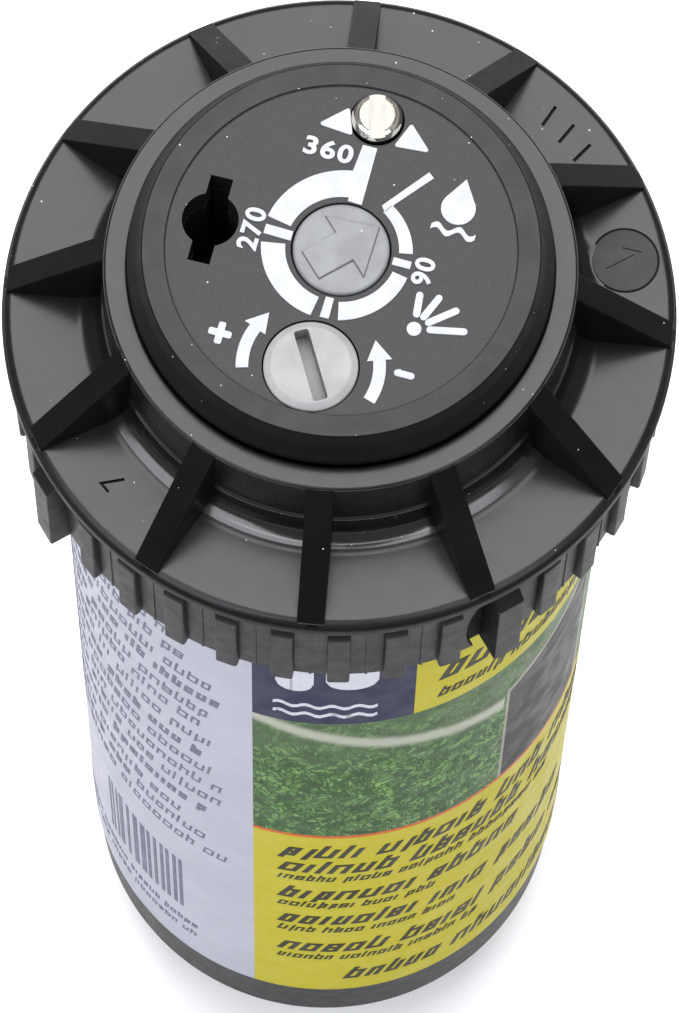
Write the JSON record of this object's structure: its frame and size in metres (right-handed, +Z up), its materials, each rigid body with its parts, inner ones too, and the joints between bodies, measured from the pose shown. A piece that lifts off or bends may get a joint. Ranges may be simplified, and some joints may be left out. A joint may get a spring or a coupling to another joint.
{
  "type": "pop up sprinkler",
  "caption": "Gear-driven pop-up lawn sprinkler: ribbed cap on a cylindrical can, a spring-returned riser with a turning nozzle head, and top controls for arc, flow and radius.",
  "frame": {"origin": "middle of the inlet's bottom face, which is the lowest face of the sprinkler", "axes": "+Z up along the can's axis, the way the riser pops up; +X and +Y square to it, with the legend of the cover upright 13.8 degrees clockwise of +Y"},
  "size_m": [0.057, 0.057, 0.172],
  "materials": {
    "gloss_black": "moulded black plastic, semi-gloss",
    "satin_black": "moulded black plastic, satin",
    "black_rubber": "matt, fine texture",
    "grey_button": "satin",
    "light_grey": "satin",
    "white_acetal": "smooth",
    "blue_nozzle": "smooth",
    "label_film": "printed film, satin",
    "stainless": "drawn wire",
    "nickel": "nickel plate"
  },
  "bodies": {
    "housing": {"body_can": "satin_black", "label": "label_film", "body_cap": "gloss_black", "cap_seal": "black_rubber", "wiper_seal": "black_rubber", "seal_retainer": "white_acetal", "retraction_spring": "stainless"},
    "ratchet": {"ratchet_ring": "white_acetal"},
    "riser": {"riser_tube": "satin_black", "filter_screen": "white_acetal", "stator": "white_acetal", "gearbox_lower": "white_acetal", "gearbox_upper": "white_acetal", "gear_pin": "stainless", "stem_bearing": "blue_nozzle", "turret_seal": "black_rubber", "trip_pin": "stainless", "valve_spring": "stainless"},
    "bypass": {"bypass_valve": "white_acetal", "valve_clip": "stainless"},
    "turbine": {"turbine": "white_acetal", "turbine_shaft": "stainless", "turbine_pinion": "white_acetal"},
    "gear_1": {"reduction_gear_1": "white_acetal"},
    "gear_2": {"reduction_gear_2": "white_acetal"},
    "gear_3": {"reduction_gear_3": "white_acetal"},
    "turret": {"output_gear": "white_acetal", "drive_shaft": "white_acetal", "turret_stem": "white_acetal", "stem_clip": "stainless", "thrust_washer": "stainless", "fixed_stop": "white_acetal", "nozzle_housing": "satin_black", "riser_cover": "black_rubber", "nozzle": "blue_nozzle"},
    "arc_set": {"arc_button": "grey_button", "arc_stop": "grey_button"},
    "flow_set": {"flow_screw": "light_grey", "flow_gate": "light_grey"},
    "radius_set": {"radius_screw": "nickel"},
    "trip": {"trip_lever": "light_grey", "snap_spring": "stainless"}
  },
  "joints": [
    {"name": "riser_slide", "type": "slide", "parent": "housing", "child": "ratchet", "axis": [0, 0, 1], "range_m": [0, 0.1016], "stiffness_N_per_m": 150, "springref_m": -0.1, "deforming": ["retraction_spring"]},
    {"name": "riser_ratchet", "type": "hinge", "parent": "ratchet", "child": "riser", "pos_m": [0, 0, 0.02], "axis": [0, 0, 1], "continuous": true},
    {"name": "bypass_lift", "type": "slide", "parent": "riser", "child": "bypass", "axis": [0, 0, 1], "range_m": [0, 0.0025], "stiffness_N_per_m": 400, "springref_m": -0.0025, "deforming": ["valve_spring"]},
    {"name": "turret_turn", "type": "hinge", "parent": "riser", "child": "turret", "pos_m": [0, 0, 0.15], "axis": [0, 0, 1], "continuous": true},
    {"name": "gear_3_spin", "type": "hinge", "parent": "riser", "child": "gear_3", "pos_m": [0.00608, 0, 0.098], "axis": [0, 0, 1], "continuous": true},
    {"name": "gear_2_spin", "type": "hinge", "parent": "riser", "child": "gear_2", "pos_m": [0, 0, 0.094], "axis": [0, 0, 1], "continuous": true},
    {"name": "gear_1_spin", "type": "hinge", "parent": "riser", "child": "gear_1", "pos_m": [0.00608, 0, 0.09], "axis": [0, 0, 1], "continuous": true},
    {"name": "turbine_spin", "type": "hinge", "parent": "riser", "child": "turbine", "pos_m": [0, 0, 0.078], "axis": [0, 0, 1], "continuous": true},
    {"name": "trip_swing", "type": "hinge", "parent": "riser", "child": "trip", "pos_m": [0, -0.008, 0.114], "axis": [0, 0, 1], "range_deg": [-10, 10]},
    {"name": "arc_adjust", "type": "hinge", "parent": "turret", "child": "arc_set", "pos_m": [0, 0, 0.17], "axis": [0, 0, -1], "range_deg": [-4, 316]},
    {"name": "flow_adjust", "type": "hinge", "parent": "turret", "child": "flow_set", "pos_m": [-0.0022, -0.0103, 0.17], "axis": [0, 0, 1], "range_deg": [-90, 90]},
    {"name": "radius_adjust", "type": "hinge", "parent": "turret", "child": "radius_set", "pos_m": [0.00265, 0.0116, 0.17], "axis": [0, 0, 1], "range_deg": [-360, 360]}
  ],
  "couplings": [
    {"joint": "gear_3_spin", "follows": "turret_turn", "ratio": -3},
    {"joint": "gear_2_spin", "follows": "turret_turn", "ratio": 9},
    {"joint": "gear_1_spin", "follows": "turret_turn", "ratio": -27},
    {"joint": "turbine_spin", "follows": "turret_turn", "ratio": 81}
  ]
}
